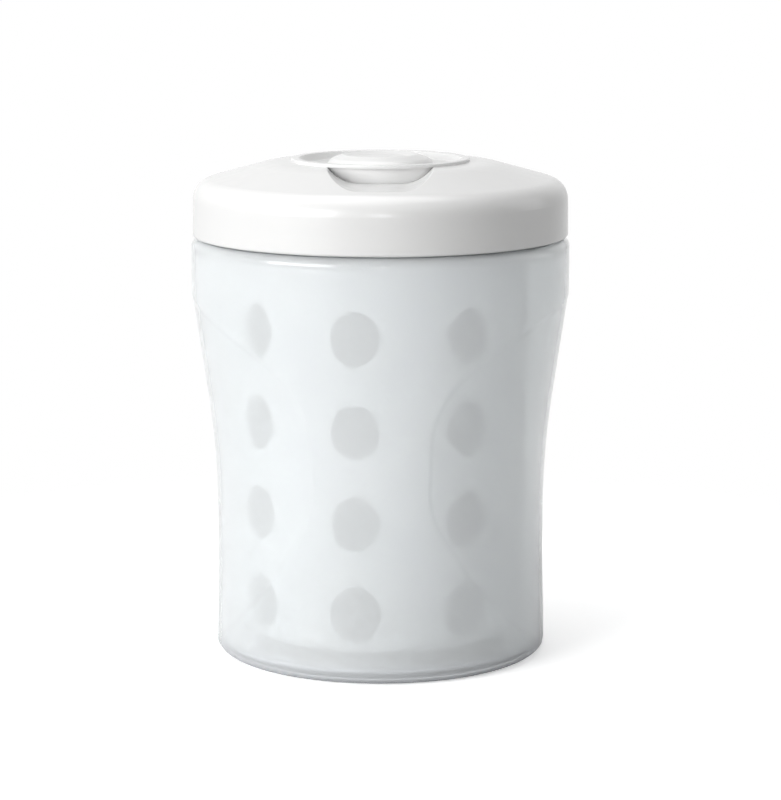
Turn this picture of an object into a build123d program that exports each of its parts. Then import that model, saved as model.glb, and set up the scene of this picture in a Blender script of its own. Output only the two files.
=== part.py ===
# Microwave steriliser for one feeding bottle: a frosted tub that holds a little water, a
# perforated basket that holds the bottle above it, a tray for the teat, and a glossy
# bayonet lid with a flip-up vent cap. Millimetres, +Z up, origin at the centre of the base.
# The front, with the finger notch in the lid, looks along -Y.
import os
from math import hypot, radians, tan

from build123d import *

os.makedirs("parts", exist_ok=True)

# Tub
TUB_WALL = 2.0
FOOT_R = 55.6
FOOT_ROUND = 4.0
BODY_R = 63.0
BODY_STRAIGHT = 17.9
FLARE_BLEND = 200.0
SHOULDER_Z = 139.9
SHOULDER_ROUND = 3.0
FOOT_LAND = 10.6
BASE_RECESS = 1.4
NECK_STEP = 5.5
NECK_H = 11.6

# The two lens-shaped side grips
GRIP_BITE = 7.9
GRIP_OFFSET = 5.2
GRIP_FOOT_SPREAD = 0.65
GRIP_LOW_Z = 32.0
GRIP_BEND_Z = 67.9
GRIP_SLOPE = 8.38
GRIP_BEND = 273.0
GRIP_LOW_BEND = 400.0
GRIP_TURN = -3.0

# Bayonet
LUG_COUNT = 4
LUG_SPAN = 18.0
LOCK_TURN = 25.0
LUG_THICK = 2.6
LUG_CLEAR = 0.4
LUG_STOP = 3.0
LUG_STOP_GAP = 0.5
LUG_DROP = 3.2

# Basket
BASKET_LEDGE = 5.5
BASKET_TAPER = 1.6
BASKET_WALL = 1.6
WATER_DEPTH = 4.8
BASKET_FLOOR = 1.6
BASKET_ROUND = 5.0
COLLAR_CLEAR = 0.6
COLLAR_DEPTH = 14.5
FLANGE = 1.5
FLANGE_INSET = 0.3
HOLE_WIDE = 16.0
HOLE_TALL = 18.0
HOLE_ROWS = 4
HOLE_LOW_RISE = 13.5
HOLE_TOP_DROP = 24.7
HOLE_COLUMNS = 8
HOLE_TURN = -9.5
LOW_HOLE_EXTRA = 0.4
FLOOR_SLOT_WIDE = 5.0
FLOOR_RIB = 3.2
FLOOR_RINGS = 3
FLOOR_SPOKES = 6
FLOOR_HUB_R = 8.0

# Teat tray
TRAY_WALL = 1.4
TRAY_DEPTH = 6.0
TRAY_CLEAR = 0.6
TRAY_RIM = 3.2
TRAY_MOUTH_R = 20.0
TRAY_LIP = 2.4
TRAY_HOLES = 14
TRAY_HOLE_R = 4.2

# Lid seal
SEAL = 1.6
SEAL_WIDE = 3.8
SEAL_OVERHANG = 0.9
SEAL_BEAD = 0.5
SEAL_CLEAR = 0.3

# Lid shell
LID_SET_IN = 0.5
LID_DRAFT = 0.25
LID_RISE = 10.3
LID_WALL = 2.3
LID_GAP = 0.4
LID_EDGE_ROUND = 0.9
LID_CORNER = 7.0
CONE_ANGLE = 15.5
RIM_WIDE = 8.4
RIM_BLEND = 30.0
WELL_R = 28.4
WELL_DEPTH = 7.4
SPIGOT_CLEAR = 1.7
SPIGOT_WALL = 1.5
SPIGOT_DROP = 7.0
RIB_WALL = 1.2
RIB_DROP = 1.0

# Finger notch in the front of the lid
NOTCH_DEPTH = 4.9
NOTCH_FLAT = 7.0
NOTCH_SIDE_R = 13.0
RIM_ROUND = 0.5

# Vent cap, its silicone plug and the hinge at the back of the well
CAP_OVERLAP = 1.2
CAP_CLEAR = 0.4
CAP_FLANGE = 1.1
CAP_EDGE_ROUND = 0.4
CAP_SKIRT_WALL = 1.8
CAP_FLOOR_GAP = 1.0
CAP_RIM = 2.6
DISH_DEPTH = 2.4
DISH_EDGE = 1.5
DISH_WALL = 1.6
DISH_ROUND = 1.0
KNOB_FOOT_R = 18.4
KNOB_FLARE = 2.2
KNOB_SIDE_DROP = 0.2
KNOB_SIDE_ROUND = 2.5
KNOB_ROLL = 3.8
KNOB_RISE = 1.2
KNOB_TOP_ROUND = 1.0
KNOB_DIMPLE = 0.9
KNOB_DIMPLE_STEP = 3.4
KNOB_DIMPLE_ROUND = 4.0
PORT_R = 4.0
PORT_WALL = 2.0
PORT_H = 1.2
PLUG_R = 7.0
PLUG_T = 1.5
PLUG_NOSE_CLEAR = 0.4
PLUG_NOSE_TAPER = 0.9
PLUG_NOSE = 2.6
PLUG_STEM_R = 2.4
PLUG_STEM = 2.4
PLUG_STEM_CLEAR = 0.1
SOCKET_WALL = 2.2
PIN_R = 0.9
PIN_CLEAR = 0.06
PIN_SET_BACK = 0.6
PIN_END_CLEAR = 0.3
KNUCKLE_R = 1.7
KNUCKLE_HALF = 10.0
KNUCKLE_CLEAR = 0.35
EAR = 4.5
EAR_WALL = 1.6

FAR = 200.0

# Heights and radii that follow from the sizes above
flare_top_z = SHOULDER_Z - BODY_STRAIGHT
inner_floor = TUB_WALL + BASE_RECESS
neck_r = BODY_R - NECK_STEP
neck_top = SHOULDER_Z + NECK_H
flange_top = neck_top + FLANGE
seal_top = flange_top + SEAL
lid_base = SHOULDER_Z + LID_GAP
lid_r = BODY_R - LID_SET_IN
lid_top_r = lid_r - LID_DRAFT
skirt_in_r = lid_r - LID_WALL
collar_r = neck_r - TUB_WALL - COLLAR_CLEAR
ledge_z = neck_top - COLLAR_DEPTH
basket_top_r = collar_r - BASKET_LEDGE
basket_foot_r = basket_top_r - BASKET_TAPER
basket_floor_z = inner_floor + WATER_DEPTH
seal_out_r = neck_r + SEAL_OVERHANG
seal_in_r = seal_out_r - SEAL_WIDE
rim_z = seal_top + LID_RISE
rim_out_r = WELL_R + RIM_WIDE
cone_slope = tan(radians(CONE_ANGLE))
well_floor_z = rim_z - WELL_DEPTH
notch_z = rim_z - NOTCH_DEPTH
cap_r = WELL_R + CAP_OVERLAP
cap_top = rim_z + CAP_FLANGE
cap_skirt_r = WELL_R - CAP_CLEAR
hinge_y = cap_r + PIN_SET_BACK
hinge_z = rim_z - KNUCKLE_R
port_top = well_floor_z + PORT_H
plug_top = port_top + PLUG_T


def cone_z(radius, inset=0.0):
    """Height of the lid's conical top at a radius, or of the face `inset` below it."""
    return rim_z - inset + (rim_out_r - radius) * cone_slope


def ring(inner, outer, low, high):
    """A plain ring about Z, as a private solid."""
    with BuildPart() as band:
        with BuildSketch(Plane.XY.offset(low)):
            Circle(outer)
            Circle(inner, mode=Mode.SUBTRACT)
        extrude(amount=high - low)
    return band.part


def ring_sector(inner, outer, low, high, centre, span):
    """A piece of a ring, `span` degrees wide about the azimuth `centre`."""
    start = Plane(origin=(0, 0, 0), x_dir=(1, 0, 0), z_dir=(0, -1, 0))
    with BuildPart() as sector:
        with BuildSketch(start.rotated((0, 0, centre - span / 2))):
            with Locations(((inner + outer) / 2, (low + high) / 2)):
                Rectangle(outer - inner, high - low)
        revolve(axis=Axis.Z, revolution_arc=span)
    return sector.part


def grip_cutter(inset):
    """Everything outside one grip face, which turns about an axis behind the centre."""
    low_r = BODY_R - GRIP_BITE + GRIP_OFFSET - inset
    top_z = SHOULDER_Z + SHOULDER_ROUND
    top_r = low_r + (top_z - GRIP_BEND_Z) * tan(radians(GRIP_SLOPE))
    with BuildPart() as cutter:
        with BuildSketch(Plane.XZ):
            with BuildLine():
                FilletPolyline(
                    (low_r + GRIP_FOOT_SPREAD, 0),
                    (low_r, GRIP_LOW_Z),
                    (low_r, GRIP_BEND_Z),
                    (top_r, top_z),
                    radius=[GRIP_LOW_BEND, GRIP_BEND],
                )
                Polyline((top_r, top_z), (FAR, top_z), (FAR, 0), (low_r + GRIP_FOOT_SPREAD, 0))
            make_face()
        revolve(axis=Axis.Z)
    return cutter.part


def tub_body(inset, base_z, top_z, foot_round, top_round):
    """The tub's tapered body without its neck, `inset` inside the outer skin."""
    with BuildPart() as body:
        with BuildSketch(Plane.XZ):
            with BuildLine():
                FilletPolyline(
                    (0, base_z),
                    (FOOT_R - inset, base_z),
                    (BODY_R - inset, flare_top_z),
                    (BODY_R - inset, top_z),
                    (0, top_z),
                    radius=[foot_round, FLARE_BLEND, top_round],
                )
                Line((0, top_z), (0, base_z))
            make_face()
        revolve(axis=Axis.Z)
        for side in (0, 180):
            turned = grip_cutter(inset).moved(Location((-GRIP_OFFSET, 0, 0)))
            add(turned.rotate(Axis.Z, side + GRIP_TURN), mode=Mode.SUBTRACT)
    return body.part


# Tub: one frosted vessel with a narrower neck, its bayonet lugs and their stops
neck_in_r = neck_r - TUB_WALL
lug_top = neck_top - LUG_DROP
neck_lug_r = skirt_in_r - LUG_CLEAR
lid_lug_r = neck_r + LUG_CLEAR
lid_lug_low = lug_top - 2 * LUG_THICK - LUG_CLEAR
with BuildPart() as tub:
    add(tub_body(0, 0, SHOULDER_Z, FOOT_ROUND, SHOULDER_ROUND))
    with BuildSketch(Plane.XY.offset(SHOULDER_Z)):
        Circle(neck_r)
    extrude(amount=NECK_H)
    inner_round = FOOT_ROUND - TUB_WALL / 2
    add(
        tub_body(TUB_WALL, inner_floor, SHOULDER_Z - TUB_WALL, inner_round, SHOULDER_ROUND),
        mode=Mode.SUBTRACT,
    )
    with BuildSketch(Plane.XY.offset(flare_top_z)):
        Circle(neck_in_r)
    extrude(amount=neck_top - flare_top_z, mode=Mode.SUBTRACT)
    with BuildSketch(Plane.XY):
        Circle(FOOT_R - FOOT_LAND)
    extrude(amount=BASE_RECESS, taper=45, mode=Mode.SUBTRACT)
    for turn in range(LUG_COUNT):
        azimuth = turn * 360 / LUG_COUNT
        add(ring_sector(neck_r - TUB_WALL / 2, neck_lug_r, lug_top - LUG_THICK, lug_top, azimuth, LUG_SPAN))
        stop_at = azimuth - LUG_SPAN / 2 + LUG_STOP / 2
        add(ring_sector(neck_r - TUB_WALL / 2, neck_lug_r, lid_lug_low, lug_top, stop_at, LUG_STOP))
    neck_rim = tub.edges().filter_by(GeomType.CIRCLE).group_by(Axis.Z)[-1]
    fillet(neck_rim, radius=TUB_WALL / 5)
tub.part.label = "tub"

# Basket: a perforated cage with a collar that centres it in the neck and a flange on its rim.
# Its lowest holes are a little larger, where the steam comes in
hole_low_z = basket_floor_z + HOLE_LOW_RISE
hole_pitch = (ledge_z - HOLE_TOP_DROP - hole_low_z) / (HOLE_ROWS - 1)
hole_planes = [
    Plane(origin=(0, 0, 0), x_dir=(1, 0, 0), z_dir=(0, -1, 0)).rotated(
        (0, 0, HOLE_TURN + column * 360 / HOLE_COLUMNS)
    )
    for column in range(HOLE_COLUMNS)
]
with BuildPart() as bottle_basket:
    with BuildSketch(Plane.XZ):
        with BuildLine():
            cage = FilletPolyline(
                (0, basket_floor_z),
                (basket_foot_r, basket_floor_z),
                (basket_top_r, ledge_z),
                (collar_r, ledge_z),
                (collar_r, neck_top),
                (neck_r - FLANGE_INSET, neck_top),
                radius=[BASKET_ROUND, BASKET_WALL, 2 * BASKET_WALL, 0],
            )
            inner_cage = FilletPolyline(
                (neck_r - FLANGE_INSET, flange_top),
                (collar_r - BASKET_WALL, flange_top),
                (collar_r - BASKET_WALL, ledge_z + BASKET_WALL),
                (basket_top_r - BASKET_WALL, ledge_z + BASKET_WALL),
                (basket_foot_r - BASKET_WALL, basket_floor_z + BASKET_FLOOR),
                (0, basket_floor_z + BASKET_FLOOR),
                radius=[BASKET_WALL / 2, TRAY_CLEAR / 2, 0, BASKET_ROUND - BASKET_WALL],
            )
            Line(cage @ 1, inner_cage @ 0)
            Line(inner_cage @ 1, cage @ 0)
        make_face()
    revolve(axis=Axis.Z)
    for plane in hole_planes:
        with BuildSketch(plane.offset(basket_foot_r / 2)):
            with Locations((0, hole_low_z)):
                Ellipse(HOLE_WIDE / 2 + LOW_HOLE_EXTRA, HOLE_TALL / 2 + LOW_HOLE_EXTRA)
            with Locations(*[(0, hole_low_z + row * hole_pitch) for row in range(1, HOLE_ROWS)]):
                Ellipse(HOLE_WIDE / 2, HOLE_TALL / 2)
        extrude(amount=basket_top_r, mode=Mode.SUBTRACT)
    with BuildSketch(Plane.XY.offset(basket_floor_z)):
        for lane in reversed(range(FLOOR_RINGS)):
            lane_r = FLOOR_HUB_R + lane * (FLOOR_SLOT_WIDE + FLOOR_RIB)
            Circle(lane_r + FLOOR_SLOT_WIDE)
            Circle(lane_r, mode=Mode.SUBTRACT)
        with PolarLocations(0, FLOOR_SPOKES):
            Rectangle(basket_foot_r, FLOOR_RIB, align=(Align.MIN, Align.CENTER), mode=Mode.SUBTRACT)
    extrude(amount=BASKET_FLOOR, mode=Mode.SUBTRACT)
bottle_basket.part.label = "bottle_basket"

# Tray: a shallow drilled ring on the basket's inner ledge, open in the middle for the teat
tray_rim_z = ledge_z + BASKET_WALL
tray_well_r = basket_top_r - BASKET_WALL - TRAY_CLEAR
tray_floor_z = tray_rim_z - TRAY_DEPTH
tray_rim_r = tray_well_r + TRAY_RIM
with BuildPart() as teat_tray:
    with BuildSketch(Plane.XZ):
        with BuildLine():
            under = FilletPolyline(
                (TRAY_MOUTH_R, tray_floor_z),
                (tray_well_r, tray_floor_z),
                (tray_well_r, tray_rim_z),
                (tray_rim_r, tray_rim_z),
                radius=[2 * TRAY_WALL, 0],
            )
            over = FilletPolyline(
                (tray_rim_r, tray_rim_z + TRAY_WALL),
                (tray_well_r - TRAY_WALL, tray_rim_z + TRAY_WALL),
                (tray_well_r - TRAY_WALL, tray_floor_z + TRAY_WALL),
                (TRAY_MOUTH_R + TRAY_WALL, tray_floor_z + TRAY_WALL),
                (TRAY_MOUTH_R + TRAY_WALL, tray_floor_z + TRAY_WALL + TRAY_LIP),
                (TRAY_MOUTH_R, tray_floor_z + TRAY_WALL + TRAY_LIP),
                radius=[TRAY_WALL / 2, TRAY_WALL, 0, 0],
            )
            Line(under @ 1, over @ 0)
            Line(over @ 1, under @ 0)
        make_face()
    revolve(axis=Axis.Z)
    drill_r = (TRAY_MOUTH_R + tray_well_r) / 2
    with BuildSketch(Plane.XY.offset(tray_floor_z)):
        with PolarLocations(drill_r, TRAY_HOLES):
            Circle(TRAY_HOLE_R)
    extrude(amount=TRAY_WALL, mode=Mode.SUBTRACT)
teat_tray.part.label = "teat_tray"

# Seal: a flat silicone ring with two beads that press on the basket's flange
bead_half = SEAL_WIDE / 6
with BuildPart() as lid_seal:
    with BuildSketch(Plane.XZ):
        with Locations(((seal_in_r + seal_out_r) / 2, seal_top)):
            Rectangle(SEAL_WIDE, SEAL - SEAL_BEAD, align=(Align.CENTER, Align.MAX))
        with Locations((seal_in_r + bead_half, flange_top)):
            Rectangle(2 * bead_half, SEAL, align=(Align.CENTER, Align.MIN))
    revolve(axis=Axis.Z)
lid_seal.part.label = "lid_seal"

# Hollow of the lid: all that is open under its top, kept clear of the well, the notch's
# trough and the hinge ears, which hang into it
def trough(inset):
    """The finger notch as a solid trough, `inset` bigger all round."""
    with BuildPart() as scoop:
        with BuildSketch(Plane.XZ):
            with BuildLine():
                side = NOTCH_SIDE_R + inset
                rise = notch_z - inset
                base = Line((-NOTCH_FLAT, rise), (NOTCH_FLAT, rise))
                right = RadiusArc(base @ 1, (NOTCH_FLAT + side, rise + side), -side)
                top = Line(right @ 1, (-NOTCH_FLAT - side, rise + side))
                RadiusArc(top @ 1, base @ 0, -side)
            make_face()
        extrude(amount=lid_r)
    return scoop.part


well_out_r = WELL_R + LID_WALL
pin_half = KNUCKLE_HALF + KNUCKLE_CLEAR + EAR
ear_half = pin_half + PIN_END_CLEAR + EAR_WALL
ear_low = hinge_z - KNUCKLE_R - KNUCKLE_CLEAR - EAR_WALL
slot_back = hinge_y + hypot(hinge_y - cap_r, cap_top - hinge_z) + KNUCKLE_CLEAR
ear_back = slot_back + EAR_WALL
seal_land_in = seal_in_r - SEAL_CLEAR - RIB_WALL
spigot_r = collar_r - BASKET_WALL - SPIGOT_CLEAR
with BuildPart() as lid_hollow:
    with BuildSketch(Plane.XZ):
        with BuildLine():
            Polyline(
                (0, lid_base),
                (skirt_in_r, lid_base),
                (skirt_in_r, seal_top),
                (seal_land_in, seal_top),
                (seal_land_in, cone_z(seal_land_in, LID_WALL)),
                (rim_out_r, rim_z - LID_WALL),
                (0, rim_z - LID_WALL),
                (0, lid_base),
            )
        make_face()
    revolve(axis=Axis.Z)
    with BuildSketch(Plane.XY.offset(well_floor_z - PORT_WALL)):
        Circle(well_out_r)
    extrude(amount=FAR, mode=Mode.SUBTRACT)
    add(trough(LID_WALL), mode=Mode.SUBTRACT)
    with BuildSketch(Plane.XY.offset(ear_low)):
        with Locations((0, ear_back / 2)):
            Rectangle(2 * ear_half, ear_back)
    extrude(amount=FAR, mode=Mode.SUBTRACT)

# Lid: a shallow cone that levels off into a rim round the cap's well, with a finger notch at
# the front, a spigot that closes the basket's mouth, a groove for the seal and bayonet lugs
with BuildPart() as lid_shell:
    with BuildSketch(Plane.XZ):
        with BuildLine():
            corner_z = cone_z(lid_top_r)
            FilletPolyline(
                (0, lid_base),
                (lid_r, lid_base),
                (lid_top_r, corner_z),
                (rim_out_r, rim_z),
                (0, rim_z),
                radius=[LID_EDGE_ROUND, LID_CORNER, RIM_BLEND],
            )
            Line((0, rim_z), (0, lid_base))
        make_face()
    revolve(axis=Axis.Z)
    add(lid_hollow.part, mode=Mode.SUBTRACT)
    with BuildSketch(Plane.XY.offset(well_floor_z)):
        Circle(WELL_R)
    extrude(amount=FAR, mode=Mode.SUBTRACT)
    add(trough(0), mode=Mode.SUBTRACT)
    upper = lid_shell.faces().filter_by(lambda face: face.center().Z > notch_z)
    top_faces = upper.filter_by(lambda face: face.normal_at().Z > cone_slope)
    walls = upper.filter_by(GeomType.CYLINDER)
    brim = [edge for edge in walls.edges() if any(edge.is_same(other) for other in top_faces.edges())]
    fillet(brim, radius=RIM_ROUND)
    add(ring(spigot_r - SPIGOT_WALL, spigot_r, seal_top - SPIGOT_DROP, cone_z(spigot_r, LID_WALL / 2)))
    add(ring(seal_land_in, seal_land_in + RIB_WALL, seal_top - RIB_DROP, seal_top))
    for turn in range(LUG_COUNT):
        azimuth = turn * 360 / LUG_COUNT + LOCK_TURN + LUG_STOP + LUG_STOP_GAP
        add(
            ring_sector(
                lid_lug_r,
                skirt_in_r + LID_WALL / 2,
                lid_lug_low,
                lid_lug_low + LUG_THICK,
                azimuth,
                LUG_SPAN,
            )
        )
    with BuildSketch(Plane.XY.offset(well_floor_z)):
        Circle(PORT_R + PORT_WALL)
    extrude(amount=PORT_H)
    with BuildSketch(Plane.XY.offset(port_top)):
        Circle(PORT_R)
    extrude(amount=-FAR, mode=Mode.SUBTRACT)
    with BuildSketch(Plane.YZ.offset(-KNUCKLE_HALF - KNUCKLE_CLEAR)):
        with Locations((hinge_y, hinge_z)):
            Circle(KNUCKLE_R + KNUCKLE_CLEAR)
        with Locations((hinge_y, hinge_z - KNUCKLE_R - KNUCKLE_CLEAR)):
            Rectangle(WELL_R, FAR, align=(Align.MAX, Align.MIN))
        with Locations((hinge_y, hinge_z - KNUCKLE_CLEAR)):
            Rectangle(slot_back - hinge_y, FAR, align=(Align.MIN, Align.MIN))
    extrude(amount=2 * (KNUCKLE_HALF + KNUCKLE_CLEAR), mode=Mode.SUBTRACT)
    with BuildSketch(Plane.YZ.offset(-pin_half - PIN_END_CLEAR)):
        with Locations((hinge_y, hinge_z)):
            Circle(PIN_R + PIN_CLEAR)
    extrude(amount=2 * (pin_half + PIN_END_CLEAR), mode=Mode.SUBTRACT)
lid_shell.part.label = "lid_shell"

# Vent cap: a dished disc that rests on the lid's rim, with a domed thumb knob, a skirt, a
# socket for the plug and the hinge knuckle at its back
dish_out_r = cap_r - CAP_RIM - DISH_EDGE
dish_z = cap_top - DISH_DEPTH
knob_side_r = KNOB_FOOT_R - KNOB_FLARE
knob_top_r = knob_side_r - KNOB_ROLL
knob_z = cap_top + KNOB_RISE
skirt_low = well_floor_z + CAP_FLOOR_GAP
dish_under = dish_z - DISH_WALL
socket_r = PLUG_STEM_R + PLUG_STEM_CLEAR + SOCKET_WALL
with BuildPart() as vent_cap:
    with BuildSketch(Plane.XZ):
        with BuildLine():
            crown = FilletPolyline(
                (cap_skirt_r, rim_z),
                (cap_r, rim_z),
                (cap_r, cap_top),
                (cap_r - CAP_RIM, cap_top),
                (dish_out_r, dish_z),
                (KNOB_FOOT_R, dish_z),
                (knob_side_r, cap_top - KNOB_SIDE_DROP),
                (knob_top_r, knob_z),
                (knob_top_r - KNOB_DIMPLE_STEP, knob_z - KNOB_DIMPLE),
                (0, knob_z - KNOB_DIMPLE),
                radius=[
                    0,
                    CAP_EDGE_ROUND,
                    CAP_EDGE_ROUND,
                    DISH_ROUND,
                    DISH_ROUND,
                    KNOB_SIDE_ROUND,
                    KNOB_TOP_ROUND,
                    KNOB_DIMPLE_ROUND,
                ],
            )
            Polyline(
                crown @ 1,
                (0, dish_under),
                (cap_skirt_r - CAP_SKIRT_WALL, dish_under),
                (cap_skirt_r - CAP_SKIRT_WALL, skirt_low),
                (cap_skirt_r, skirt_low),
                crown @ 0,
            )
        make_face()
    revolve(axis=Axis.Z)
    with BuildSketch(Plane.YZ.offset(-KNUCKLE_HALF)):
        with Locations((hinge_y, hinge_z)):
            Circle(KNUCKLE_R)
        with Locations((hinge_y, hinge_z - KNUCKLE_R)):
            Rectangle(
                hinge_y - cap_skirt_r + 2 * CAP_SKIRT_WALL,
                2 * KNUCKLE_R,
                align=(Align.MAX, Align.MIN),
            )
    extrude(amount=2 * KNUCKLE_HALF)
    with BuildSketch(Plane.XY.offset(dish_under)):
        Circle(socket_r)
    extrude(amount=plug_top - dish_under)
    with BuildSketch(Plane.XY.offset(plug_top)):
        Circle(PLUG_STEM_R + PLUG_STEM_CLEAR)
    extrude(amount=PLUG_STEM + PLUG_STEM_CLEAR, mode=Mode.SUBTRACT)
    with BuildSketch(Plane.YZ.offset(-KNUCKLE_HALF)):
        with Locations((hinge_y, hinge_z)):
            Circle(PIN_R + PIN_CLEAR)
    extrude(amount=2 * KNUCKLE_HALF, mode=Mode.SUBTRACT)
vent_cap.part.label = "vent_cap"

# Plug: a silicone washer with a tapered nose in the port and a stem in the cap's socket
nose_r = PORT_R - PLUG_NOSE_CLEAR
with BuildPart() as vent_plug:
    with BuildSketch(Plane.XZ):
        with BuildLine():
            Polyline(
                (0, port_top - PLUG_NOSE),
                (nose_r - PLUG_NOSE_TAPER, port_top - PLUG_NOSE),
                (nose_r, port_top),
                (PLUG_R, port_top),
                (PLUG_R, plug_top),
                (PLUG_STEM_R, plug_top),
                (PLUG_STEM_R, plug_top + PLUG_STEM),
                (0, plug_top + PLUG_STEM),
                (0, port_top - PLUG_NOSE),
            )
        make_face()
    revolve(axis=Axis.Z)
vent_plug.part.label = "vent_plug"

# Pin: a plain plastic rod, because nothing metal goes into a microwave oven
with BuildPart() as vent_hinge_pin:
    with BuildSketch(Plane.YZ.offset(-pin_half)):
        with Locations((hinge_y, hinge_z)):
            Circle(PIN_R)
    extrude(amount=2 * pin_half)
vent_hinge_pin.part.label = "vent_hinge_pin"

pieces = (tub, bottle_basket, teat_tray, lid_seal, lid_shell, vent_cap, vent_plug, vent_hinge_pin)
for piece in pieces:
    export_step(piece.part, f"parts/{piece.part.label}.step")
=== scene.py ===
# %% [markdown]
# # A steam steriliser for one feeding bottle
# The object is a frosted polypropylene tub with a glossy white lid. The packed CAD model is the
# frame: it says where every piece is and how it moves. This lesson dresses it, piece by piece.

# %% Load the frame
from math import atan2, cos, pi, radians, sin, tan

import bpy
import numpy as np
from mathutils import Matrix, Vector


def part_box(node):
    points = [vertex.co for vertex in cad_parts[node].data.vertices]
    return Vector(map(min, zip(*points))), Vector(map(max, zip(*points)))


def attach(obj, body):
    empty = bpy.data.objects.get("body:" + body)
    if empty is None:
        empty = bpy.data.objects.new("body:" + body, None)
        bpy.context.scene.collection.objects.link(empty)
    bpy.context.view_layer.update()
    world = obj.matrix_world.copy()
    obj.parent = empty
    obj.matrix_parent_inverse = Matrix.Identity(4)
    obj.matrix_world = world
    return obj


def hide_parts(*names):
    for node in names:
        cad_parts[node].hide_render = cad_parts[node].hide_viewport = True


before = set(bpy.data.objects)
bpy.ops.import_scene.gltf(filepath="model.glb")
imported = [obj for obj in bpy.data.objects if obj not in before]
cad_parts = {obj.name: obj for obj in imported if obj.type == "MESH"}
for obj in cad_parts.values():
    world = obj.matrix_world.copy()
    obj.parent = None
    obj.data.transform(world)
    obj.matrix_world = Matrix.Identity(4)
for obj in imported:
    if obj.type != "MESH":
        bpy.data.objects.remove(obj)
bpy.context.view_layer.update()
mm = 0.001

# %% [markdown]
# ## Heights and radii that the tub shares
# Blender works in metres, and moulded ware is drawn in millimetres, so each size below is a
# number of millimetres times `mm`. Sizes where the tub meets the lid are read from the frame's
# boxes, so that the dressed tub can't drift from the solids around it.

# %% Shared sizes
neck_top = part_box("tub")[1].z
tub_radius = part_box("tub")[1].x
lid_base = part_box("lid_shell")[0].z
lid_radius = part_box("lid_shell")[1].x
lid_gap = 0.4 * mm
shoulder_z = lid_base - lid_gap
print("neck top, lid base in mm:", round(neck_top / mm, 2), round(lid_base / mm, 2))

# %% [markdown]
# ## Points round the axis
# The tub is turned: a profile goes round the upright axis. Blender's Screw modifier can do that,
# but it gives the same radius all the way round, and this tub has flat grips and lugs. So here the
# radius of each ring of points may change as it goes round. Where a lug starts or ends, two points
# stand about a thousandth of a radian apart, which keeps its edge crisp.

# %% Points round the axis
edge_half = 0.0006
least_turn = 0.0008
turn_digits = 6


def turns_with(edges, count):
    """Angles round the axis from the front towards +X, with a pair at each sharp edge."""
    even = np.arange(count) * 2 * pi / count
    sharp = [edge + side for edge in edges for side in (-edge_half, edge_half)]
    around = np.mod(np.concatenate((even, sharp)), 2 * pi)
    merged = np.unique(np.round(around, turn_digits))
    keep = np.append(np.diff(merged) > least_turn, True)
    return merged[keep]


def ring(turns, radius, height):
    """One ring of points. The radius is a number, or an array that follows the turns."""
    radius = np.broadcast_to(radius, turns.shape)
    height = np.broadcast_to(height, turns.shape)
    return np.column_stack((radius * np.sin(turns), -radius * np.cos(turns), height))


def pole(height):
    """A ring shrunk to one point on the axis."""
    return np.array(((0.0, 0.0, height),))


print("turns with eight even points and one edge:", len(turns_with((0.1,), 8)))

# %% [markdown]
# ## Joining the rings
# Quads join each ring to the next, and triangles close a ring on a point of the axis. A modifier
# could bridge the rings, but listing the faces keeps every point where it was computed. Smooth
# shading hides the quads, and edges where faces meet more sharply than the crease angle stay hard,
# as they are on the real lugs.

# %% Rings to a skin
crease_angle = radians(35)


def add_mesh(name, points, faces):
    """Makes a smooth-shaded object that stays sharp where faces meet past the crease angle."""
    mesh = bpy.data.meshes.new(name)
    mesh.from_pydata([tuple(point) for point in points], [], faces)
    mesh.polygons.foreach_set("use_smooth", [True] * len(mesh.polygons))
    mesh.set_sharp_from_angle(angle=crease_angle)
    mesh.update()
    piece = bpy.data.objects.new(name, mesh)
    bpy.context.scene.collection.objects.link(piece)
    return piece


def skin(name, rings):
    """Joins each ring to the next by quads, or by triangles where one of them is a pole."""
    starts = np.cumsum([0] + [len(points) for points in rings])
    faces = []
    for low in range(len(rings) - 1):
        high = low + 1
        count = max(len(rings[low]), len(rings[high]))
        for here in range(count):
            after = (here + 1) % count
            corners = []
            for level, spots in ((low, (here, after)), (high, (after, here))):
                if len(rings[level]) == 1:
                    corners.append(int(starts[level]))
                else:
                    corners += [int(starts[level]) + spot for spot in spots]
            faces.append(corners)
    return add_mesh(name, np.concatenate(rings), faces)


print("crease angle in radians:", round(crease_angle, 3))

# %% [markdown]
# ## Rounded corners
# No edge of a moulding is quite sharp. A Bevel modifier would round all edges alike, but the rim,
# the foot and the neck each have their own radius. So a profile is a list of corners, each with its
# rounding, and this helper puts a short arc in place of each corner.

# %% Rounded corners
corner_steps = 5


def rounded(corners):
    """A profile of (radius, height) points through (radius, height, rounding) corners."""
    path = []
    for place, (radius, height, rounding) in enumerate(corners):
        here = np.array((radius, height))
        if rounding == 0 or place in (0, len(corners) - 1):
            path.append(here)
            continue
        back = np.array(corners[place - 1][:2]) - here
        fore = np.array(corners[place + 1][:2]) - here
        back /= np.linalg.norm(back)
        fore /= np.linalg.norm(fore)
        half = np.arccos(np.clip(back @ fore, -1, 1)) / 2
        middle = (back + fore) / np.linalg.norm(back + fore)
        centre = here + middle * rounding / sin(half)
        first = here + back * rounding / tan(half) - centre
        last = here + fore * rounding / tan(half) - centre
        begin = atan2(first[1], first[0])
        sweep = (atan2(last[1], last[0]) - begin + pi) % (2 * pi) - pi
        for step in range(corner_steps + 1):
            angle = begin + sweep * step / corner_steps
            path.append(centre + rounding * np.array((cos(angle), sin(angle))))
    return path


one_corner = ((1.0, 0.0, 0), (1.0, 1.0, 0.2), (0.0, 1.0, 0))
print("points for one rounded corner:", len(rounded(one_corner)) - 2)

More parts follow.
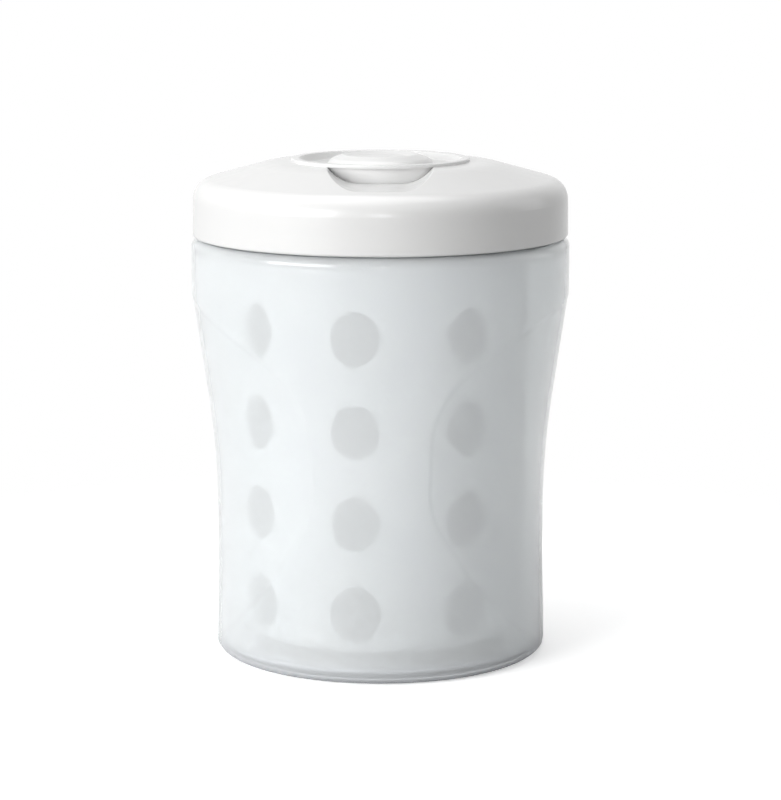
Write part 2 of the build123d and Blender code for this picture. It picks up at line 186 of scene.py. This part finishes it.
# %% [markdown]
# ## Soft meetings
# The tub's side bends from one slope to another, and it meets its grips in a fine crease. Both
# could be sculpted, but a formula repeats exactly. `ease` bends a straight line smoothly, and
# `soft_min` takes the inner one of two surfaces with the line between them rounded off.

# %% Soft meetings
def ease(value, reach):
    """Zero below -reach, `value` above +reach, and a smooth bend between."""
    inside = np.clip((value + reach) / (2 * reach), 0, 1)
    return np.where(value < reach, reach * inside**2, value)


def soft_min(first, second, blend):
    """The lower of two surfaces, with their meeting line rounded by about `blend`."""
    near = np.maximum(blend - np.abs(first - second), 0) / blend
    return np.minimum(first, second) - near**2 * blend / 4


print("an eased zero and a soft minimum:", ease(0.0, 1.0), soft_min(1.0, 1.0, 1.0))

# %% [markdown]
# ## The tub's side
# The tub tapers towards its foot, and each side has a lens-shaped grip where thumb and fingers
# hold it. A grip is a face turned about an axis behind the centre, so seen from the front it only
# bites into the sides. Higher up, that axis comes nearer the centre, which widens the grip towards
# its top. At each height the tub's radius is the smaller of the taper and the grip, and a fine
# step along their meeting line gives the crease that a mould leaves.

# %% Sizes of the taper
foot_radius = 55.6 * mm
flare_top = 122.0 * mm
flare_reach = 6.1 * mm
taper_slope = (tub_radius - foot_radius) / flare_top
print("taper of the side in degrees:", round(atan2(taper_slope, 1) / radians(1), 2))

# %% Sizes of the grips
grip_radius = 55.1 * mm
grip_sides = (pi / 2, 3 * pi / 2)
grip_turn = radians(-3.0)
grip_low = 32.0 * mm
grip_low_slope = 0.65 / 32
grip_low_reach = 4.1 * mm
grip_bend = 67.9 * mm
grip_slope = tan(radians(8.38))
grip_reach = 20.0 * mm
grip_offset_low = 6.05 * mm
grip_offset_high = 3.3 * mm
grip_offset_from = 66.0 * mm
grip_offset_to = 108.0 * mm
crease_blend = 0.06 * mm
crease_step = 0.2 * mm
crease_width = 0.08 * mm
print("the grips' axis in mm behind the centre, low:", round(grip_offset_low / mm, 2))
print("the grips' axis in mm behind the centre, high:", round(grip_offset_high / mm, 2))


# %% The tub's side as a formula
def grip_offset_at(height):
    """How far behind the centre the grips' axis is, with a smooth change between two heights."""
    climb = np.clip((height - grip_offset_from) / (grip_offset_to - grip_offset_from), 0, 1)
    change = grip_offset_high - grip_offset_low
    return grip_offset_low + change * climb**2 * (3 - 2 * climb)


def waist_at(height):
    """Radius of the grips' face: a slight taper at the foot, then out again above the bend."""
    waist = grip_radius - grip_low_slope * (height - grip_low)
    waist += grip_low_slope * ease(height - grip_low, grip_low_reach)
    waist += grip_slope * ease(height - grip_bend, grip_reach)
    return waist


def tub_side(height, turns, inset):
    """Radius of the tub's side at one height, all the way round, `inset` in from the skin."""
    above = height - flare_top
    taper = tub_radius + taper_slope * above - taper_slope * ease(above, flare_reach)
    grip_offset = grip_offset_at(height)
    radius = np.full(turns.shape, float(taper))
    for side in grip_sides:
        away = np.cos(turns - side - grip_turn)
        reach = (waist_at(height) + grip_offset) ** 2 - grip_offset**2 * (1 - away**2)
        grip = np.sqrt(reach) - grip_offset * away
        sunk = crease_step * np.clip((radius - grip) / crease_width, 0, 1)
        radius = soft_min(radius, grip, crease_blend) - sunk
    return radius - inset


narrowest = tub_side(45 * mm, np.array((pi / 2,)), 0)[0]
print("waist across the grips in mm:", round(2 * narrowest / mm, 1))

# %% [markdown]
# ## The tub's foot
# The tub stands on a flat ring, and the middle of its base is recessed so that it can't rock. The
# profile could be drawn as a curve and turned, but the foot's rounding has to run into the tapered
# side and the grips. So those rings call the side's formula too, with an inset that follows an arc.

# %% Foot
foot_round = 4.0 * mm
foot_flat = 4.0 * mm
base_centre = 1.0 * mm
base_recess = 1.4 * mm
base_recess_radius = 45.0 * mm
base_round = 0.5 * mm
arc_points = 9
arcs = np.linspace(0, pi / 2, arc_points)


def foot_rings(turns):
    """From the middle of the base, out over the foot and round its edge."""
    profile = rounded(
        (
            (base_centre, base_recess, 0),
            (base_recess_radius - base_recess, base_recess, base_round),
            (base_recess_radius, 0, base_round),
            (base_recess_radius + foot_flat, 0, 0),
        )
    )
    rings = [pole(base_recess)]
    rings += [ring(turns, radius, height) for radius, height in profile]
    for arc in arcs:
        height = foot_round * (1 - cos(arc))
        inset = foot_round * (1 - sin(arc))
        rings.append(ring(turns, tub_side(height, turns, inset), height))
    return rings


print("rings in the foot:", len(foot_rings(turns_with((), 8))))

# %% [markdown]
# ## The tub's outside and shoulder
# The side is what everybody sees, so it gets a ring in less than every millimetre. A subdivision
# modifier could refine fewer rings, but it would round off the grips' creases. The shoulder is
# rounded by the same arc of insets as the foot.

# %% Outside
shoulder_round = 3.0 * mm
side_top = shoulder_z - shoulder_round
outer_levels = 150


def outer_rings(turns):
    """Up the outside and over the shoulder."""
    rings = []
    for height in np.linspace(foot_round, side_top, outer_levels)[1:-1]:
        rings.append(ring(turns, tub_side(height, turns, 0), height))
    for arc in arcs:
        height = side_top + shoulder_round * sin(arc)
        inset = shoulder_round * (1 - cos(arc))
        rings.append(ring(turns, tub_side(side_top, turns, inset), height))
    return rings


print("mm between the side's rings:", round((side_top - foot_round) / mm / (outer_levels - 1), 2))

# %% [markdown]
# ## The tub's neck
# The lid locks on a bayonet: four lugs on the neck, each with a stop under one end. They could be
# blocks joined by a Boolean modifier, but that leaves ragged faces. Here a lug is a stretch of the
# ring with a larger radius, and a pair of rings a hair's breadth apart makes its upper and lower
# face.

# %% Sizes of the neck
neck_radius = 57.5 * mm
lug_count = 4
lug_half = radians(9.0)
lug_stop = radians(3.0)
lug_thick = 2.6 * mm
lug_clear = 0.4 * mm
lug_top = neck_top - 3.2 * mm
lug_low = lug_top - lug_thick
lid_lug_low = lug_top - 2 * lug_thick - lug_clear
lug_bevel_down = 0.5 * mm
lug_bevel_in = 0.4 * mm
lid_wall = 2.3 * mm
neck_lug_radius = lid_radius - lid_wall - lug_clear
ring_nudge = 0.04 * mm
neck_fillet = ((0.6 * mm, 0.0), (0.2 * mm, 0.15 * mm), (0.0, 0.6 * mm))
lug_centres = [turn * 2 * pi / lug_count for turn in range(lug_count)]
print("the lugs stand out by mm:", round((neck_lug_radius - neck_radius) / mm, 2))


# %% Neck
def within(turns, low, high):
    """True where a turn lies between two edges, counted round the circle."""
    return np.mod(turns - low, 2 * pi) <= (high - low)


def neck_lugs(turns, stops_only):
    """The neck's radius with its lugs, or with only the stops under them."""
    radius = np.full(turns.shape, neck_radius)
    for centre in lug_centres:
        high = centre - lug_half + lug_stop if stops_only else centre + lug_half
        radius[within(turns, centre - lug_half, high)] = neck_lug_radius
    return radius


def neck_rings(turns):
    """From the shoulder's fillet up the neck, past the stops and over the lugs."""
    stops = neck_lugs(turns, True)
    lugs = neck_lugs(turns, False)
    levels = [(neck_radius + out, shoulder_z + up) for out, up in neck_fillet]
    levels += [
        (neck_radius, lid_lug_low),
        (stops, lid_lug_low + ring_nudge),
        (stops, lug_low),
        (lugs, lug_low + ring_nudge),
        (lugs, lug_top - lug_bevel_down),
        (np.minimum(lugs, neck_lug_radius - lug_bevel_in), lug_top),
        (neck_radius, lug_top + ring_nudge),
    ]
    return [ring(turns, radius, height) for radius, height in levels]


print("rings in the neck:", len(neck_rings(turns_with((), 8))))

# %% [markdown]
# ## The tub's rim and inside
# The inner skin is the side's formula again, 2 mm further in, so the wall is even and the light
# that comes through it is too. A Solidify modifier would do nearly the same, but it can't give the
# rim and the inner corners their own roundings.

# %% Sizes of the inside
tub_wall = 2.0 * mm
rim_start = 1.0 * mm
rim_round = 0.4 * mm
shelf_drop = 1.6 * mm
shelf_round = 1.2 * mm
shelf_width = 4.0 * mm
shelf_end_drop = 0.2 * mm
inner_side_top = side_top - tub_wall
inner_arc_end = 1.2
inner_levels = 60
inner_round = foot_round - tub_wall / 2
inner_floor = tub_wall + base_recess
inner_floor_ring = 20.0 * mm
print("water stands on a floor at mm:", round(inner_floor / mm, 2))


# %% Rim and inside
def rim_rings(turns):
    """Over the rim, down inside the neck and out under the shoulder."""
    neck_inside = neck_radius - tub_wall
    under_shoulder = shoulder_z - tub_wall
    profile = rounded(
        (
            (neck_radius, lug_top + rim_start, 0),
            (neck_radius, neck_top, rim_round),
            (neck_inside, neck_top, rim_round),
            (neck_inside, under_shoulder - shelf_drop, shelf_round),
            (neck_inside + shelf_width, under_shoulder - shelf_end_drop, 0),
        )
    )
    return [ring(turns, radius, height) for radius, height in profile]


def inner_rings(turns):
    """Down the inside to the middle of the floor."""
    rings = []
    for arc in arcs[::-1]:
        if arc < inner_arc_end:
            height = inner_side_top + shoulder_round * sin(arc)
            inset = tub_wall + shoulder_round * (1 - cos(arc))
            rings.append(ring(turns, tub_side(inner_side_top, turns, inset), height))
    for height in np.linspace(inner_side_top, inner_floor + inner_round, inner_levels)[1:-1]:
        rings.append(ring(turns, tub_side(height, turns, tub_wall), height))
    for arc in arcs[::-1]:
        height = inner_floor + inner_round * (1 - cos(arc))
        inset = tub_wall + inner_round * (1 - sin(arc))
        rings.append(ring(turns, tub_side(height, turns, inset), height))
    rings.append(ring(turns, inner_floor_ring, inner_floor))
    rings.append(pole(inner_floor))
    return rings


print("rings inside:", len(rim_rings(turns_with((), 8))) + len(inner_rings(turns_with((), 8))))

# %% [markdown]
# ## The whole tub
# The rings are joined in the order in which a finger would follow the skin: from under the base,
# up the outside, over the rim and down inside. One closed skin has no seam for light to leak
# through, which matters in a see-through plastic.

# %% Tub
tub_points_round = 540
lug_sides = (-lug_half, -lug_half + lug_stop, lug_half)
lug_edges = [centre + side for centre in lug_centres for side in lug_sides]
tub_turns = turns_with(lug_edges, tub_points_round)
tub_rings = []
for make_rings in (foot_rings, outer_rings, neck_rings, rim_rings, inner_rings):
    tub_rings += make_rings(tub_turns)
tub = skin("frosted_tub", tub_rings)
print("tub faces:", len(tub.data.polygons))

# %% [markdown]
# ## Finishes
# Moulded plastic is never one flat colour. The melt cools unevenly, so its colour drifts by a
# percent or two over a few centimetres, and the mould's polish varies, so the gloss does too.
# Painting that by hand would tie it to one mesh. A node group computes it from an object's own
# coordinates instead, so one recipe serves every plastic.

# %% A helper for nodes
def add_node(tree, kind, inputs=None, **settings):
    """Adds a node, sets its settings, and links its inputs to sockets or gives them values."""
    node = tree.nodes.new(kind)
    for name, value in settings.items():
        setattr(node, name, value)
    for name, source in (inputs or {}).items():
        if isinstance(source, bpy.types.NodeSocket):
            tree.links.new(source, node.inputs[name])
        else:
            node.inputs[name].default_value = source
    return node


print(add_node.__doc__)

# %% The sockets of the drift
drift = bpy.data.node_groups.new("moulding_drift", "ShaderNodeTree")
for name, kind in (
    ("Light Colour", "NodeSocketColor"),
    ("Dark Colour", "NodeSocketColor"),
    ("Smooth", "NodeSocketFloat"),
    ("Rough", "NodeSocketFloat"),
    ("Grain Scale", "NodeSocketFloat"),
    ("Grain Depth", "NodeSocketFloat"),
):
    drift.interface.new_socket(name, in_out="INPUT", socket_type=kind)
for name, kind in (
    ("Colour", "NodeSocketColor"),
    ("Roughness", "NodeSocketFloat"),
    ("Normal", "NodeSocketVector"),
):
    drift.interface.new_socket(name, in_out="OUTPUT", socket_type=kind)
given = drift.nodes.new("NodeGroupInput").outputs
taken = drift.nodes.new("NodeGroupOutput").inputs
print("sockets in the drift group:", len(drift.interface.items_tree))

# %% [markdown]
# ## Three patterns inside the drift
# A broad noise about 3 cm across mixes the two colours. A noise drawn out along the axis stands
# for wiping and for the flow of the melt, and together with the broad one it sets the gloss. A fine
# grain drives a bump of a fraction of a millimetre, which is what a mould's surface leaves.

# %% Patterns
broad_scale = 34.0
wiped_scale = (260.0, 260.0, 34.0)
place = add_node(drift, "ShaderNodeTexCoord").outputs["Object"]
broad = add_node(
    drift,
    "ShaderNodeTexNoise",
    {"Vector": place, "Scale": broad_scale, "Detail": 3.0, "Roughness": 0.55},
)
stretched = add_node(drift, "ShaderNodeMapping", {"Vector": place, "Scale": wiped_scale})
wiped = add_node(
    drift,
    "ShaderNodeTexNoise",
    {"Vector": stretched.outputs["Vector"], "Scale": 1.0, "Detail": 2.0},
)
grain = add_node(
    drift,
    "ShaderNodeTexNoise",
    {"Vector": place, "Scale": given["Grain Scale"], "Detail": 2.0, "Roughness": 0.6},
)
print("broad patches in mm:", round(1 / broad_scale / mm))

# %% What the drift gives out
polish_low = 0.12
polish_high = 0.4
grain_height = 0.4 * mm
colour = add_node(
    drift,
    "ShaderNodeMix",
    {0: broad.outputs["Fac"], 6: given["Light Colour"], 7: given["Dark Colour"]},
    data_type="RGBA",
)
polish = add_node(
    drift,
    "ShaderNodeMath",
    {0: broad.outputs["Fac"], 1: wiped.outputs["Fac"]},
    operation="MULTIPLY",
)
gloss = add_node(
    drift,
    "ShaderNodeMapRange",
    {
        "Value": polish.outputs[0],
        "From Min": polish_low,
        "From Max": polish_high,
        "To Min": given["Smooth"],
        "To Max": given["Rough"],
    },
)
bump = add_node(
    drift,
    "ShaderNodeBump",
    {"Height": grain.outputs["Fac"], "Strength": given["Grain Depth"], "Distance": grain_height},
)
drift.links.new(colour.outputs[2], taken["Colour"])
drift.links.new(gloss.outputs[0], taken["Roughness"])
drift.links.new(bump.outputs["Normal"], taken["Normal"])
print("drift nodes:", len(drift.nodes))

# %% [markdown]
# ## A material from the drift
# Each plastic has its own shader. The group feeds the colour, the roughness and the normal, which
# change over the surface. What is constant, such as how strongly a plastic bends light, is set on
# the shader's own socket, where other programs can read it.

# %% A moulded material
def plastic(name, light, dark, smooth, rough, grain_scale, grain_depth, **fixed):
    """A moulded material: its drift feeds the shader, and `fixed` names constant sockets."""
    material = bpy.data.materials.new(name)
    material.use_nodes = True
    tree = material.node_tree
    shader = tree.nodes["Principled BSDF"]
    surface = tree.nodes.new("ShaderNodeGroup")
    surface.name = "moulded surface"
    surface.node_tree = drift
    surface.inputs["Light Colour"].default_value = (*light, 1)
    surface.inputs["Dark Colour"].default_value = (*dark, 1)
    surface.inputs["Smooth"].default_value = smooth
    surface.inputs["Rough"].default_value = rough
    surface.inputs["Grain Scale"].default_value = grain_scale
    surface.inputs["Grain Depth"].default_value = grain_depth
    tree.links.new(surface.outputs["Colour"], shader.inputs["Base Color"])
    tree.links.new(surface.outputs["Roughness"], shader.inputs["Roughness"])
    tree.links.new(surface.outputs["Normal"], shader.inputs["Normal"])
    for socket, value in fixed.items():
        shader.inputs[socket.replace("_", " ")].default_value = value
    print(name, "roughness from", smooth, "to", rough)
    return material


# %% [markdown]
# ## Frosted polypropylene
# The tub's plastic lets most light through but scatters it. Subsurface scattering could make it
# milky, but it would hide the basket. Here a share of plain diffuse makes it milky, and a rough
# transmission blurs the basket behind it, more so the further away it is.

# %% Frosted polypropylene
frosted = plastic(
    "frosted_plastic",
    light=(0.972, 0.99, 0.998),
    dark=(0.945, 0.972, 0.985),
    smooth=0.08,
    rough=0.12,
    grain_scale=900,
    grain_depth=0.03,
    Transmission_Weight=0.6,
    IOR=1.45,
)

# %% [markdown]
# ## Painted shade at the foot
# Near the floor the side is painted darker and bluer than above it, as shade from under the tub
# shows through the wall there. A mask from the height, which fades in over the last few
# millimetres, paints that shade into the colour and blurs the foot a little more.

# %% Painted shade at the foot
foot_fade_top = 8.0 * mm
foot_fade_low = 1.5 * mm
# Painted shade: the darker, bluer colour that the foot takes on near the floor
painted_foot_shade_colour = (0.92, 0.945, 0.975, 1)
foot_more_rough = 0.1
foot_tree = frosted.node_tree
foot_shader = foot_tree.nodes["Principled BSDF"]
foot_surface = foot_tree.nodes["moulded surface"]
foot_place = add_node(foot_tree, "ShaderNodeTexCoord").outputs["Object"]
foot_height = add_node(foot_tree, "ShaderNodeSeparateXYZ", {0: foot_place}).outputs["Z"]
# Where the painted shade and the extra blur fade in, taken from the height
foot_shade_and_blur_mask = add_node(
    foot_tree,
    "ShaderNodeMapRange",
    {
        "Value": foot_height,
        "From Min": foot_fade_top,
        "From Max": foot_fade_low,
        "To Min": 0.0,
        "To Max": 1.0,
    },
    interpolation_type="SMOOTHSTEP",
)
# Painted shade: mixes the darker foot colour into the drift's colour near the floor
painted_foot_shade = add_node(
    foot_tree,
    "ShaderNodeMix",
    {0: foot_shade_and_blur_mask.outputs[0], 6: foot_surface.outputs["Colour"], 7: painted_foot_shade_colour},
    data_type="RGBA",
)
foot_blur = add_node(
    foot_tree,
    "ShaderNodeMath",
    {0: foot_shade_and_blur_mask.outputs[0], 1: foot_more_rough, 2: foot_surface.outputs["Roughness"]},
    operation="MULTIPLY_ADD",
)
foot_tree.links.new(painted_foot_shade.outputs[2], foot_shader.inputs["Base Color"])
foot_tree.links.new(foot_blur.outputs[0], foot_shader.inputs["Roughness"])
print("nodes in the frosted plastic:", len(foot_tree.nodes))

# %% [markdown]
# ## White polypropylene, glossy and satin
# The lid is the same resin, pigmented white and moulded against a polished tool, so its highlights
# are tight. The basket is pigmented too, but its tool has a fine satin finish that spreads them,
# and its thin wall lets a little light through. A coat layer could give the lid its gloss, but an
# unpainted moulding has none.

# %% White polypropylene
glossy = plastic(
    "lid_plastic",
    light=(0.685, 0.685, 0.682),
    dark=(0.66, 0.66, 0.657),
    smooth=0.21,
    rough=0.265,
    grain_scale=160,
    grain_depth=0.02,
    IOR=1.46,
)
satin = plastic(
    "basket_plastic",
    light=(0.93, 0.945, 0.945),
    dark=(0.89, 0.91, 0.91),
    smooth=0.34,
    rough=0.46,
    grain_scale=1500,
    grain_depth=0.16,
    IOR=1.49,
    Transmission_Weight=0.1,
)

# %% [markdown]
# ## Silicone and acetal
# The seal and the plug are milky silicone, which is softer to light than polypropylene: about a
# third of the light goes through, and it bends less. The hinge's pin is natural acetal, whitish
# and a little waxy. Both are the same recipe with other numbers.

# %% Silicone and acetal
silicone = plastic(
    "silicone",
    light=(0.90, 0.92, 0.92),
    dark=(0.85, 0.87, 0.87),
    smooth=0.36,
    rough=0.5,
    grain_scale=1100,
    grain_depth=0.1,
    Transmission_Weight=0.35,
    IOR=1.41,
)
acetal = plastic(
    "pin_plastic",
    light=(0.90, 0.90, 0.89),
    dark=(0.86, 0.86, 0.85),
    smooth=0.28,
    rough=0.38,
    grain_scale=1300,
    grain_depth=0.1,
    IOR=1.48,
)

# %% [markdown]
# ## Dressing the frame
# The tub's skin takes the place of the CAD tub. The other nodes keep their packed shape, which is
# already the real one with its roundings, and get their finish through their material slots. They
# could be remodelled, but copies would have to be fitted to the joints again.

# %% Dress the tub and the carried nodes
tub.data.materials.append(frosted)
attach(tub, "tub")
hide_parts("tub")
finishes = {
    "bottle_basket": satin,
    "teat_tray": satin,
    "lid_seal": silicone,
    "lid_shell": glossy,
    "vent_cap": glossy,
    "vent_plug": silicone,
    "vent_hinge_pin": acetal,
}
for node, finish in finishes.items():
    for material_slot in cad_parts[node].material_slots:
        material_slot.material = finish
print("nodes dressed:", len(finishes))

# %% [markdown]
# ## Floor
# The object stands on a plain pale sheet. White paper under studio light looks brighter than the
# object's own white, so the floor gives off a little light of its own, but only to the camera: the
# object isn't lit by it and keeps its shadow. The sheet fades out round the object, and it is clear
# from below, so that the foot can be looked at.

# %% Floor
floor_radius = 0.6
floor_lift = 0.42
floor_fade_from = 0.14
floor_fade_to = 0.3
floor_sides = 96
bpy.ops.mesh.primitive_circle_add(vertices=floor_sides, radius=floor_radius, fill_type="NGON")
floor = bpy.context.object
floor.name = "floor"
floor_finish = bpy.data.materials.new("floor")
floor_finish.use_nodes = True
floor_tree = floor_finish.node_tree
floor_shader = floor_tree.nodes["Principled BSDF"]
floor_shader.inputs["Base Color"].default_value = (0.9, 0.9, 0.9, 1)
floor_shader.inputs["Roughness"].default_value = 0.7
floor_shader.inputs["Specular IOR Level"].default_value = 0.1
floor_shader.inputs["Emission Color"].default_value = (1, 1, 1, 1)
floor.data.materials.append(floor_finish)
print("floor:", floor.dimensions.x, "m")

# %% The floor's brightness and its edge
floor_path = add_node(floor_tree, "ShaderNodeLightPath").outputs
lift = add_node(
    floor_tree,
    "ShaderNodeMath",
    {0: floor_path["Is Camera Ray"], 1: floor_lift},
    operation="MULTIPLY",
)
floor_place = add_node(floor_tree, "ShaderNodeTexCoord").outputs["Object"]
far = add_node(floor_tree, "ShaderNodeVectorMath", {0: floor_place}, operation="LENGTH")
fade = add_node(
    floor_tree,
    "ShaderNodeMapRange",
    {
        "Value": far.outputs["Value"],
        "From Min": floor_fade_from,
        "From Max": floor_fade_to,
        "To Min": 1.0,
        "To Max": 0.0,
    },
    interpolation_type="SMOOTHSTEP",
)
below = add_node(floor_tree, "ShaderNodeNewGeometry").outputs["Backfacing"]
shown = add_node(
    floor_tree,
    "ShaderNodeMath",
    {0: fade.outputs[0], 1: below},
    operation="SUBTRACT",
    use_clamp=True,
)
floor_tree.links.new(lift.outputs[0], floor_shader.inputs["Emission Strength"])
floor_tree.links.new(shown.outputs[0], floor_shader.inputs["Alpha"])
print("floor nodes:", len(floor_tree.nodes))

# %% [markdown]
# ## Lights
# The studio light is soft and comes from the left front, so the left side is nearly white and the
# right side falls to grey. A wide soft box does that. A second one hangs overhead, and a weak one
# at the right lightens the edge away from the key. A small spot reaches the finger notch, which
# would be too dark under the cap. One sun lamp would be simpler, but its shadows are hard.

# %% Lamps that aim
def aim(name, lamp, place, target):
    """Puts a lamp in the scene and turns it towards its target."""
    holder = bpy.data.objects.new(name, lamp)
    bpy.context.scene.collection.objects.link(holder)
    holder.location = place
    holder.rotation_euler = (Vector(place) - Vector(target)).to_track_quat("Z", "Y").to_euler()


def soft_box(name, place, width, height, power, target=(0, 0, 0.08)):
    """A rectangular lamp in metres and watts. By default it aims at the middle of the object."""
    lamp = bpy.data.lights.new(name, "AREA")
    lamp.energy = power
    lamp.shape = "RECTANGLE"
    lamp.size = width
    lamp.size_y = height
    aim(name, lamp, place, target)


def soft_spot(name, place, spread, power, target, softness=0.12):
    """A narrow cone of light, `spread` degrees wide, which fades towards its edge."""
    lamp = bpy.data.lights.new(name, "SPOT")
    lamp.energy = power
    lamp.spot_size = radians(spread)
    lamp.spot_blend = 1
    lamp.shadow_soft_size = softness
    aim(name, lamp, place, target)


print(soft_box.__doc__)
print(soft_spot.__doc__)

# %% Lamps
finger_notch = (-0.003, -0.036, 0.162)
lid_edge = (0, 0, 0.16)
soft_box("key_light", place=(-0.768, -0.675, 0.4), width=0.8, height=0.5, power=11.6)
soft_box("top_light", place=(-0.1, 0.1, 1.1), width=0.9, height=0.9, power=6.5)
soft_spot("notch_light", place=(0, -0.9, 0.3), spread=5, power=80, target=finger_notch)
soft_box(
    "edge_light", place=(0.75, 0.15, 0.35), width=0.4, height=0.5, power=0.8, target=lid_edge
)
print("lamps:", len(bpy.data.lights))

# %% [markdown]
# ## The room
# What the camera sees of the room is white, and so is what the gloss mirrors and what shows
# through the frosted wall. As a lamp, though, a white room would wash out the soft boxes' shading,
# so the room lights the object with only a part of that. Light Path tells these rays apart.

# %% Room
room_light = 0.22
room_white = 1.0
room = bpy.data.worlds.new("studio")
bpy.context.scene.world = room
room.use_nodes = True
room_tree = room.node_tree
room_shader = room_tree.nodes["Background"]
room_shader.inputs["Color"].default_value = (1, 1, 1, 1)
room_path = add_node(room_tree, "ShaderNodeLightPath").outputs
mirrored = add_node(
    room_tree,
    "ShaderNodeMath",
    {0: room_path["Is Glossy Ray"], 1: room_path["Is Transmission Ray"]},
    operation="MAXIMUM",
)
white = add_node(
    room_tree,
    "ShaderNodeMath",
    {0: room_path["Is Camera Ray"], 1: mirrored.outputs[0]},
    operation="MAXIMUM",
)
strength = add_node(
    room_tree,
    "ShaderNodeMapRange",
    {"Value": white.outputs[0], "To Min": room_light, "To Max": room_white},
)
room_tree.links.new(strength.outputs[0], room_shader.inputs["Strength"])
bpy.context.scene.view_settings.view_transform = "Standard"
print("room light:", room_light)

# %% [markdown]
# ## Camera
# The photograph was taken with a long lens, from about a metre away and looking ten degrees down.
# A camera can be placed by eye, but this one was fitted, so that the outlines of the lid and the
# foot have the size and the flatness that they have in the photograph.

# %% Camera
camera_place = (0.003349, -0.950, 0.251945)
camera_tilt = radians(79.9851)
sensor_height = 36
focal_length = 128.84
lens = bpy.data.cameras.new("camera")
lens.sensor_fit = "VERTICAL"
lens.sensor_height = sensor_height
lens.lens = focal_length
lens.clip_start = 0.01
camera = bpy.data.objects.new("camera", lens)
bpy.context.scene.collection.objects.link(camera)
bpy.context.scene.camera = camera
camera.location = camera_place
camera.rotation_euler = (camera_tilt, 0, 0)
print("camera height in mm:", round(camera.location.z / mm, 1))

# %% [markdown]
# ## Finish
# The view layer is updated, so that every object's place is current. The dressed model must stay
# inside the CAD model's box.

# %% Finish
bpy.context.view_layer.update()
